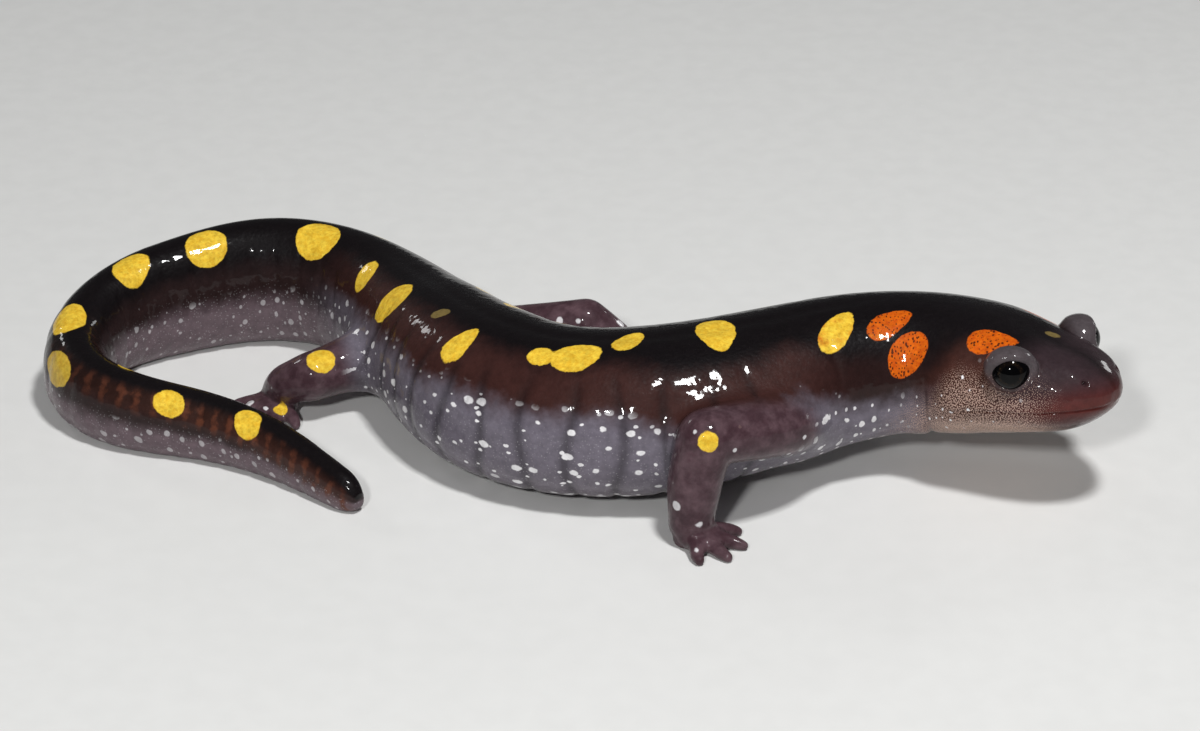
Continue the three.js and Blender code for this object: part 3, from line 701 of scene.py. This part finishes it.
def nearest(tree_points, queries):
    """Index of, and distance to, the nearest tree point for each query."""
    tree = kdtree.KDTree(len(tree_points))
    for index, point in enumerate(tree_points.tolist()):
        tree.insert(point, index)
    tree.balance()
    found = [tree.find(point)[1:] for point in queries.tolist()]
    index, distance = zip(*found)
    return np.array(index), np.array(distance)


# ---- the skin

LEG_VOXEL = 0.17
LEG_STRETCHES = (26, 58), (72, 104)  # stations of the body beside the legs
RELAX_WEIGHT, LEG_RELAX_ROUNDS, SEAM_RELAX_ROUNDS = 0.5, 14, 70
SAME_PLACE = 1e-4  # points closer together than this are one and the same
FILLET = 3.0  # how far from a leg's root the skin is drawn smooth
SWELL = 3.6  # distance over which body and leg swell towards each other
SLIVER = 0.06  # points this close together are merged where a leg joins the body
SLIVER_REACH = 0.5  # how far from the join that is done


def legs_object():
    """The four legs as one closed mesh, smoothed where their forms meet."""
    points, faces = [], []
    total = 0
    for leg in LEGS:
        for form_points, form_faces in leg_forms(*leg):
            points.append(form_points)
            faces += [tuple(v + total for v in face) for face in form_faces]
            total += len(form_points)
    legs = new_object("legs", np.vstack(points), faces)
    remesh = legs.modifiers.new("join", "REMESH")
    remesh.mode = "VOXEL"
    remesh.voxel_size = LEG_VOXEL * MM
    apply_modifiers(legs)
    smooth = relax(mesh_points(legs.data), mesh_edges(legs.data), RELAX_WEIGHT, LEG_RELAX_ROUNDS)
    set_points(legs.data, above_floor(smooth))
    return legs


def swell_towards(points, normals, others):
    """Moves points outwards near another form, as flesh fills the angle between the two."""
    _, distance = nearest(others, points)
    reach = np.maximum(SWELL - distance, 0)
    return points + normals * (reach**2 / (4 * SWELL))[:, None]


def merge_slivers(piece, chosen):
    """Merges those chosen points that lie closer together than a sliver's width."""
    group = piece.vertex_groups.new(name="seam")
    group.add(np.flatnonzero(chosen).tolist(), 1.0, "REPLACE")
    weld = piece.modifiers.new("slivers", "WELD")
    weld.vertex_group = group.name
    weld.merge_threshold = SLIVER * MM
    apply_modifiers(piece)
    piece.vertex_groups.clear()


def make_skin():
    """The whole skin in one mesh, and the fields that its colours follow, point by point."""
    rings, marks = body_mesh_arrays()
    s = marks["station"]
    legs = legs_object()
    leg_points = mesh_points(legs.data)
    leg_normals = read_rows(legs.data.vertices, "normal", 3).astype(float)
    plain_rings = rings.copy()
    near_legs = np.any([(s > start) & (s < end) for start, end in LEG_STRETCHES], 0)
    normals = grid_normals(rings)
    rings[near_legs] = swell_towards(rings[near_legs], normals[near_legs], leg_points)
    above_floor(rings)
    leg_points = swell_towards(leg_points, leg_normals, plain_rings[near_legs])
    set_points(legs.data, above_floor(leg_points))
    skin = new_object("skin", *grid_to_mesh(rings))
    join = skin.modifiers.new("legs", "BOOLEAN")
    join.operation = "UNION"
    join.solver = "MANIFOLD"
    join.object = legs
    apply_modifiers(skin)
    leg_points = mesh_points(legs.data)
    bpy.data.objects.remove(legs)

    points = mesh_points(skin.data)
    flat_body = rings.reshape(-1, 3)
    _, body_distance = nearest(flat_body, points)
    _, leg_distance = nearest(leg_points, points)
    seam = points[(body_distance > SAME_PLACE) & (leg_distance > SAME_PLACE)]
    _, seam_distance = nearest(seam, points)
    merge_slivers(skin, seam_distance < SLIVER_REACH)

    points = mesh_points(skin.data)
    on_body, body_distance = nearest(flat_body, points)
    _, seam_distance = nearest(seam, points)
    weight = RELAX_WEIGHT * (1 - smooth_step(seam_distance / FILLET))
    points = above_floor(relax(points, mesh_edges(skin.data), weight, SEAM_RELAX_ROUNDS))
    set_points(skin.data, points)

    fields = {name: values.ravel()[on_body] for name, values in marks.items()}
    fields["leg"] = smooth_step((body_distance - 0.2) / 2.5)
    return skin, points, fields


# ---- markings

# Spots on the body: station, arc length from mid-back (right side positive), half length
# along the body, half breadth round it, turn in degrees, warmth from yellow 0 to orange 1,
# and how much broader the spot is at its rear end than in its middle, as a share.
SPOTS = [
    (12.95, 4.95, 2.9, 1.5, 30, 1, 0.4),
    (9, -0.9, 0.8, 0.5, 20, -0.9, 0),
    (24.4, 7.85, 3.3, 2.3, 20, 1, 0),
    (27.1, 4.15, 3.1, 1.5, 21, 0.95, 0.15),
    (33.6, 4, 3.1, 1.55, 44, 0.3, 0.15),
    (45.8, 0.8, 3.1, 2, -97, 0, 0.3),
    (54.75, 0.35, 2.1, 1.2, 52, 0, 0.2),
    (59.4, 3.3, 2.4, 1.85, 39, 0, 0.1),
    (62.6, 3.85, 1.2, 1.25, 0, 0, 0),
    (70.5, 5.3, 2.5, 1.15, 83, 0, 0.3),
    (75.9, 3.2, 1.1, 0.7, 60, -0.5, 0),
    (84.4, 5, 2, 2.8, 0, 0, 0.1),
    (93.4, 4.2, 1.45, 2.1, 20, 0, 0),
    (104.5, 2.2, 2.9, 2.6, 20, 0, 0),
    (118.7, 2.2, 2.5, 2.4, 0, 0, 0),
    (127.8, 1.3, 2.4, 2.1, 20, 0, 0.15),
    (138.4, -0.7, 2.4, 2.1, 0, 0, 0),
    (143.6, -3.9, 2.3, 1.8, 30, -0.2, 0),
    (156.9, -2.3, 1.75, 1.5, 0, 0.05, 0),
    (166.4, -1.6, 1.6, 1.75, 30, 0.1, 0),
    # the far side mirrors the near one loosely
    (12.9, -5, 2.4, 1.35, -15, 1, 0.4),
    (22.8, -6.9, 2.2, 1.6, -40, 1, 0.1),
    (29.6, -6, 1.7, 1.5, 0, 0.7, 0),
    (38.2, -6.2, 1.9, 1.7, 20, 0.2, 0.2),
    (49.7, -7.2, 1.8, 2.1, 0, 0, 0),
    (64.8, -6.3, 2, 1.7, -30, 0, 0.25),
    (73.5, -5.3, 1.5, 1.7, 0, 0, 0),
    (80.4, -5.6, 1.9, 1.5, 15, 0, 0.2),
    (90.2, -6.6, 1.7, 1.9, 0, 0, 0),
    (99.1, -3.4, 1.4, 1.2, 0, 0, 0),
    (111.6, -3.3, 2.1, 1.8, 20, 0, 0.2),
    (150.3, 2.2, 1.6, 1.4, 0, 0, 0),
    (161.5, 2.3, 1.3, 1.1, 0, 0, 0),
]
# Spots on the legs: station, distance to the left and height of the middle, radius.
LEG_SPOTS = [
    (49.5, -14.5, 12.3, 1.05),
    (85.8, -12.5, 7.4, 1.55),
    (87.2, -16.8, 1.9, 0.8),
    (37.6, 12, 10.1, 1.3),
]


def spot_fields(points, fields):
    """Distance outside the nearest spot's edge, and that spot's warmth, for every point."""
    s, arc, leg = fields["station"], fields["girth"], fields["leg"]
    edge = np.full(len(s), 9.0)
    warm = np.zeros(len(s))
    for station, girth, length, breadth, turn, warmth, taper in SPOTS:
        a = radians(turn)
        along, around = s - station, arc - girth
        u = along * cos(a) + around * sin(a)
        v = around * cos(a) - along * sin(a)
        v = v / (1 + taper * np.clip(u / length, -1.5, 1.5))
        distance = (np.hypot(u / length, v / breadth) - 1) * sqrt(length * breadth)
        distance += 3 * leg
        nearer = distance < edge
        edge[nearer], warm[nearer] = distance[nearer], warmth
    for station, left, up, radius in LEG_SPOTS:
        distance = np.linalg.norm(points - place(station, left, up), axis=1) - radius
        nearer = distance + 3 * (1 - leg) < edge
        edge[nearer], warm[nearer] = distance[nearer], 0.0
    return edge, warm


def add_field(mesh, name, values):
    attribute = mesh.attributes.new(name, "FLOAT", "POINT")
    attribute.data.foreach_set("value", np.asarray(values, np.float32))


# ---- materials

def colours(codes):
    """Colours written as rrggbb, as the linear values that a shader takes."""
    found = []
    for code in codes.split():
        parts = [int(code[i : i + 2], 16) / 255 for i in (0, 2, 4)]
        linear = [c / 12.92 if c <= 0.04045 else ((c + 0.055) / 1.055) ** 2.4 for c in parts]
        found.append((*linear, 1.0))
    return found


BACK, MAROON, SLATE, BELLY = colours("0f0b0d 3a211e 6c6671 6a6268")
HEAD_TOP, CHEEK, SNOUT, LIP, JAW = colours("110d0f 422620 34282c 5c2722 8c776b")
TAIL_SIDE, TAIL_LOW, RUST, LEG_DARK, LEG_PALE = colours("281b1b 66575d 5e3526 412d33 5b464c")
STIPPLE, FLECK, LID = colours("c8a99a e6e4e6 514a4d")
YELLOW, YELLOW_DEEP, YELLOW_DULL = colours("f1ce46 dcac2c 75643a")
ORANGE, ORANGE_DEEP = colours("d9680d bb4a0a")
PUPIL, IRIS, GILT = colours("040405 0d0908 2c2112")
FLOOR_LOW, FLOOR_HIGH = (0.775, 0.775, 0.76, 1), (0.795, 0.795, 0.78, 1)
BAR_SPACING = 1.8  # between the rusty bars on the tail


class Nodes:
    """Short names for the shader nodes of one material."""

    def __init__(self, name):
        self.material = bpy.data.materials.new(name)
        self.material.use_nodes = True
        self.tree = self.material.node_tree
        self.shader = self.tree.nodes["Principled BSDF"]

    def put(self, socket, value):
        if isinstance(value, bpy.types.NodeSocket):
            self.tree.links.new(value, socket)
        elif value is not None:
            socket.default_value = value

    def node(self, kind, inputs=(), **settings):
        made = self.tree.nodes.new("ShaderNode" + kind)
        for key, value in settings.items():
            setattr(made, key, value)
        for key, value in dict(inputs).items():
            self.put(made.inputs[key], value)
        return made

    def math(self, operation, a, b=None, c=None):
        return self.node("Math", enumerate((a, b, c)), operation=operation).outputs[0]

    def ramp(self, value, low, high, start=0.0, end=1.0):
        """A smooth step of value from start, at low, to end, at high."""
        inputs = {"Value": value, "From Min": low, "From Max": high, "To Min": start, "To Max": end}
        return self.node("MapRange", inputs, interpolation_type="SMOOTHSTEP").outputs[0]

    def mix(self, factor, a, b, blend="MIX"):
        inputs = {0: factor, 6: a, 7: b}
        made = self.node("Mix", inputs, data_type="RGBA", blend_type=blend, clamp_factor=True)
        return made.outputs[2]

    def field(self, name):
        return self.node("Attribute", attribute_name=name).outputs["Fac"]

    def place(self):
        """Position on the piece in millimetres."""
        where = self.node("TexCoord").outputs["Object"]
        return self.node("VectorMath", {0: where, "Scale": 1 / MM}, operation="SCALE").outputs[0]

    def noise(self, where, scale, detail=3.0, roughness=0.55):
        inputs = {"Vector": where, "Scale": scale, "Detail": detail, "Roughness": roughness}
        return self.node("TexNoise", inputs).outputs["Fac"]

    def cells(self, where, scale, feature="F1", dimensions="3D", randomness=1.0):
        inputs = {"Vector": where, "Scale": scale, "Randomness": randomness}
        return self.node("TexVoronoi", inputs, feature=feature, voronoi_dimensions=dimensions)

    def displaced(self, vector, where, scale, amount):
        """A vector moved about by noise, by up to half the amount each way."""
        noise = self.node("TexNoise", {"Vector": where, "Scale": scale}).outputs["Color"]
        inputs = {0: noise, 1: (amount,) * 3, 2: vector}
        return self.node("VectorMath", inputs, operation="MULTIPLY_ADD").outputs[0]

    def minus(self, a, b):
        return self.math("SUBTRACT", a, b)

    def times(self, a, b):
        return self.math("MULTIPLY", a, b)

    def plus_part(self, value, part, other):
        """The value with a part of another one added."""
        return self.math("MULTIPLY_ADD", other, part, value)

    def swing(self, where, scale, detail=3.0, roughness=0.55):
        """Noise that swings about zero, by up to a half each way."""
        return self.minus(self.noise(where, scale, detail, roughness), 0.5)

    def between(self, value, low_start, low_end, high_start, high_end):
        rise = self.ramp(value, low_start, low_end)
        return self.times(rise, self.ramp(value, high_end, high_start))

    def flecks(self, where, scale, share, radius, dimensions="2D"):
        """Round flecks in a share of random cells, of uneven size up to the radius."""
        cells = self.cells(where, scale, dimensions=dimensions, randomness=0.8)
        random = self.node("SeparateColor", {0: cells.outputs["Color"]})
        chosen = self.ramp(random.outputs[0], 1 - share - 0.01, 1 - share + 0.01)
        size = self.ramp(random.outputs[1], 0, 1, 0.45 * radius, radius)
        inside = self.ramp(self.minus(size, cells.outputs["Distance"]), -0.02, 0.04)
        return self.times(chosen, inside)


def trunk_colour(n, level, neck):
    """Back to belly: near black, maroon brown, slate lavender, paler below, with painted shade
    darkening the costal grooves.
    """
    base = n.mix(n.ramp(level, 0.09, 0.23), BACK, n.mix(n.times(neck, 0.6), MAROON, BACK))
    base = n.mix(n.ramp(level, 0.30, 0.42), base, SLATE)
    base = n.mix(n.ramp(level, 0.50, 0.90), base, BELLY)
    # painted shade: the costal grooves are darkened towards the back's near black
    return n.mix(n.times(n.field("painted_groove_shade"), 0.55), base, BACK)


def head_colour(n, level, station):
    """Brown at the cheek, red at the lips and pale along the lower jaw."""
    base = n.mix(n.ramp(level, 0.17, 0.36), HEAD_TOP, CHEEK)
    base = n.mix(n.times(n.ramp(station, 11, 6.5), n.ramp(level, -0.08, 0.16)), base, SNOUT)
    base = n.mix(n.field("jaw"), base, JAW)
    return n.mix(n.times(n.field("lip"), 0.85), base, LIP)


def tail_colour(n, where, level, station, girth):
    """Dark above and slate brown below, with rusty bars near the end."""
    base = n.mix(n.ramp(level, 0.22, 0.36), BACK, TAIL_SIDE)
    base = n.mix(n.ramp(level, 0.42, 0.58), base, TAIL_LOW)
    band = n.between(n.math("ABSOLUTE", girth), 1.0, 2.4, 3.2, 4.8)
    wave = n.math("SINE", n.times(station, TAU / BAR_SPACING))
    bars = n.ramp(n.plus_part(wave, 6.0, n.swing(where, 0.9, 4.0)), -0.3, 1.5, 0.22, 0.95)
    return n.mix(n.times(n.times(bars, band), n.ramp(station, 134, 158)), base, RUST)


def stippled(n, base, where, unrolled, level, station, leg):
    """Fine pale dots on the cheeks and neck, closer towards the jaw, and faint specks behind."""
    dots = n.cells(unrolled, 5.4, dimensions="2D").outputs["Distance"]
    cover = n.times(n.ramp(level, 0.27, 0.50), n.ramp(station, 34, 20))
    cover = n.times(cover, n.ramp(station, 1.5, 8.0))
    size = n.math("MULTIPLY_ADD", cover, 0.39, -0.03)
    base = n.mix(n.times(n.ramp(n.minus(size, dots), -0.08, 0.10), 0.85), base, STIPPLE)
    specks = n.ramp(n.cells(where, 3.1).outputs["Distance"], 0.28, 0.12)
    specks = n.times(specks, n.minus(n.ramp(level, 0.36, 0.5, 0, 0.16), leg))
    return n.mix(n.times(specks, n.ramp(station, 22, 30)), base, FLECK)


def flecked(n, base, where, unrolled, level, station, leg, tail):
    """White flecks along the lower flanks, fewer on the cheeks, legs and tail."""
    bent = n.displaced(unrolled, where, 1.5, 0.3)
    small = n.flecks(bent, 0.75, 0.36, 0.17)
    fleck = n.math("MAXIMUM", n.flecks(bent, 0.45, 0.72, 0.20), small)
    flank = n.times(n.between(level, 0.30, 0.40, 0.80, 0.94), n.between(station, 22, 29, 92, 106))
    cheek = n.times(n.between(level, 0.30, 0.42, 0.62, 0.75), n.between(station, 5, 12, 22, 29))
    on_tail = n.times(n.between(level, 0.42, 0.5, 0.75, 0.85), n.times(tail, 0.4))
    shown = n.times(n.math("MAXIMUM", flank, on_tail), n.minus(1.0, leg))
    shown = n.math("MAXIMUM", n.times(fleck, shown), n.times(small, cheek))
    base = n.mix(shown, base, FLECK)
    on_leg = n.flecks(n.displaced(where, where, 1.5, 0.3), 0.42, 0.75, 0.24, "3D")
    return n.mix(n.times(on_leg, n.times(leg, 0.8)), base, FLECK)


def spotted(n, base, where, unrolled, patchy, lid):
    """Spots with slightly uneven edges, mottled inside, orange ones pitted with black."""
    warm = n.field("warm")
    edge = n.plus_part(n.field("spot"), 0.55, n.swing(where, 1.1, 4.0, 0.6))
    inside = n.ramp(n.plus_part(edge, 2.0, lid), 0.08, -0.08)
    mottle = n.ramp(n.noise(where, 1.9, 5.0, 0.7), 0.3, 0.7)
    yellow = n.mix(mottle, YELLOW_DEEP, YELLOW)
    yellow = n.mix(n.ramp(warm, -0.5, 0.0), YELLOW_DULL, yellow)
    orange = n.mix(mottle, ORANGE_DEEP, ORANGE)
    inner = n.mix(n.ramp(n.plus_part(warm, 1.6, patchy), 0.2, 0.8), yellow, orange)
    pits = n.cells(n.displaced(unrolled, where, 3.0, 0.3), 1.9, dimensions="2D").outputs["Distance"]
    rare = n.plus_part(pits, 0.7, n.swing(where, 0.8, 2.0))
    pits = n.times(n.ramp(rare, 0.27, 0.13), n.ramp(warm, 0.2, 0.9, 0.12, 0.85))
    return n.mix(inside, base, n.mix(pits, inner, BACK))


def wet_grain(n, where, fine):
    """Granular skin, and over it a film of water that hides the finest grains."""
    def bump(height):
        inputs = {"Height": height, "Strength": 0.6, "Distance": 0.05 * MM}
        return n.node("Bump", inputs).outputs[0]

    grains = n.cells(where, 2.6, feature="SMOOTH_F1").outputs["Distance"]
    lumps = n.math("MULTIPLY_ADD", n.noise(where, 0.9, 2.0), 1.6, fine)
    n.put(n.shader.inputs["Normal"], bump(n.plus_part(lumps, -1.0, grains)))
    ripples = n.times(n.noise(where, 0.8, 1.0), 2.4)
    n.put(n.shader.inputs["Coat Normal"], bump(n.plus_part(ripples, -0.1, grains)))


def skin_material():
    n = Nodes("salamander_skin")
    where = n.place()
    station, girth, leg, lid = (n.field(name) for name in ("station", "girth", "leg", "lid"))
    unrolled = n.node("CombineXYZ", {0: station, 1: girth}).outputs[0]
    patchy = n.swing(where, 0.6, 4.0)
    fine = n.noise(where, 3.2, 4.0, 0.6)
    head, tail = n.ramp(station, 26, 16), n.ramp(station, 90, 106)
    neck, shoulder = n.between(station, 14, 21, 31, 42), n.between(station, 38, 43, 50, 56)

    # how far round from mid-back (0) to mid-belly (1), as the colours see it
    level = n.plus_part(n.field("low"), 0.09, patchy)
    level = n.plus_part(level, 0.10, n.swing(where, 0.16, 3.0))
    level = n.plus_part(n.plus_part(level, -0.15, neck), -0.07, shoulder)

    base = n.mix(head, trunk_colour(n, level, neck), head_colour(n, level, station))
    base = n.mix(tail, base, tail_colour(n, where, level, station, girth))
    base = n.mix(leg, base, n.mix(n.ramp(patchy, -0.15, 0.2), LEG_DARK, LEG_PALE))
    base = stippled(n, base, where, unrolled, level, station, leg)
    base = n.mix(n.times(lid, n.ramp(fine, 0.2, 0.7, 0.75, 1.0)), base, LID)
    base = flecked(n, base, where, unrolled, level, station, leg, tail)
    base = spotted(n, base, where, unrolled, patchy, lid)

    # uneven lightness all over
    shade = n.ramp(n.noise(where, 1.1, 5.0, 0.65), 0.25, 0.75, 0.82, 1.15)
    tone = n.node("CombineColor", {0: shade, 1: shade, 2: shade}).outputs[0]
    n.put(n.shader.inputs["Base Color"], n.mix(1.0, base, tone, "MULTIPLY"))
    n.put(n.shader.inputs["Roughness"], n.ramp(fine, 0.25, 0.75, 0.36, 0.60))
    wet_grain(n, where, fine)
    n.shader.inputs["Coat Weight"].default_value = 0.7
    n.shader.inputs["Coat Roughness"].default_value = 0.06
    n.shader.inputs["Coat IOR"].default_value = 1.3
    n.shader.inputs["Specular IOR Level"].default_value = 0.06
    return n.material


def eye_material(centre, axis):
    """A black eye: a wide pupil in a dark brown iris with a few gilt flecks."""
    n = Nodes("salamander_eye")
    where = n.place()
    front = tuple(centre + EYE_RADIUS * axis)
    offset = n.node("VectorMath", {0: where, 1: front}, operation="SUBTRACT").outputs[0]
    out = n.node("VectorMath", {0: offset}, operation="LENGTH").outputs["Value"]
    gilt = n.ramp(n.noise(where, 4.5, 4.0, 0.7), 0.52, 0.68)
    ring = n.between(out, 0.95, 1.1, 1.3, 1.5)
    n.put(n.shader.inputs["Base Color"], n.mix(ring, PUPIL, n.mix(gilt, IRIS, GILT)))
    n.put(n.shader.inputs["Roughness"], n.ramp(gilt, 0, 1, 0.04, 0.07))
    n.shader.inputs["Specular IOR Level"].default_value = 0.14
    return n.material


# ---- the model

FLESH = [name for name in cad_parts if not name.startswith("eye")]

skin, skin_points, fields = make_skin()
for name, values in fields.items():
    add_field(skin.data, name, values)
edge, warm = spot_fields(skin_points, fields)
add_field(skin.data, "spot", edge)
add_field(skin.data, "warm", warm)
skin.data.materials.clear()
skin.data.materials.append(skin_material())
skin.data.shade_smooth()
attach(skin, "root")
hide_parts(*FLESH)

for side, name in ((-1, "right"), (1, "left")):
    centre, axis, upward, ahead = eye_frame(side)
    points, faces = ellipsoid(centre, (EYE_RADIUS,) * 3, 0)
    eye = new_object("eyeball_" + name, points, faces)
    eye.data.materials.append(eye_material(centre, axis))
    eye.data.shade_smooth()
    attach(eye, "root")
    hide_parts("eye_" + name)


# ---- floor, light and camera

CAMERA_TARGET = Vector((0.00338, -0.00882, 0.01285))
CAMERA_DISTANCE = 0.417
CAMERA_HEIGHT_ANGLE = radians(27.5)
CAMERA_LENS, CAMERA_SENSOR = 120, 36  # millimetres
FLOOR_HALF = 3000  # millimetres
LAMPS = [  # name, position and size in metres, power in watts
    ("key", (0.10, -0.16, 0.48), (0.06, 0.06), 1.8),
    ("front", (-0.14, -0.62, 0.44), (0.06, 0.06), 2.3),
    ("back_right", (0.55, 0.60, 0.30), (0.12, 0.10), 0.35),
    ("back_left", (-0.60, 0.55, 0.40), (0.12, 0.10), 0.45),
]
SURROUND, SURROUND_STRENGTH = (0.9, 0.92, 0.95, 1), 0.07


def floor_material():
    n = Nodes("studio_floor")
    grain = n.noise(n.place(), 0.35, 4.0)
    n.put(n.shader.inputs["Base Color"], n.mix(grain, FLOOR_LOW, FLOOR_HIGH))
    n.put(n.shader.inputs["Roughness"], n.ramp(grain, 0.3, 0.7, 0.55, 0.68))
    return n.material


corner_signs = (-1, -1), (1, -1), (1, 1), (-1, 1)
corners = [(x * FLOOR_HALF, y * FLOOR_HALF, 0) for x, y in corner_signs]
floor = new_object("floor", corners, [(0, 1, 2, 3)])
floor.data.materials.append(floor_material())

for name, position, size, power in LAMPS:
    data = bpy.data.lights.new(name, "AREA")
    data.shape = "RECTANGLE"
    data.size, data.size_y = size
    data.energy = power
    lamp = bpy.data.objects.new(name, data)
    bpy.context.scene.collection.objects.link(lamp)
    lamp.location = position
    lamp.rotation_euler = (-Vector(position)).to_track_quat("-Z", "Y").to_euler()

world = bpy.data.worlds.new("studio")
world.use_nodes = True
background = world.node_tree.nodes["Background"]
background.inputs["Color"].default_value = SURROUND
background.inputs["Strength"].default_value = SURROUND_STRENGTH
bpy.context.scene.world = world
bpy.context.scene.view_settings.view_transform = "Standard"

camera_data = bpy.data.cameras.new("camera")
camera_data.lens = CAMERA_LENS
camera_data.sensor_width = CAMERA_SENSOR
camera_data.clip_start, camera_data.clip_end = 0.01, 10
camera = bpy.data.objects.new("camera", camera_data)
bpy.context.scene.collection.objects.link(camera)
away = Vector((0, -cos(CAMERA_HEIGHT_ANGLE), sin(CAMERA_HEIGHT_ANGLE)))
camera.location = CAMERA_TARGET + away * CAMERA_DISTANCE
camera.rotation_euler = (-away).to_track_quat("-Z", "Y").to_euler()
bpy.context.scene.camera = camera
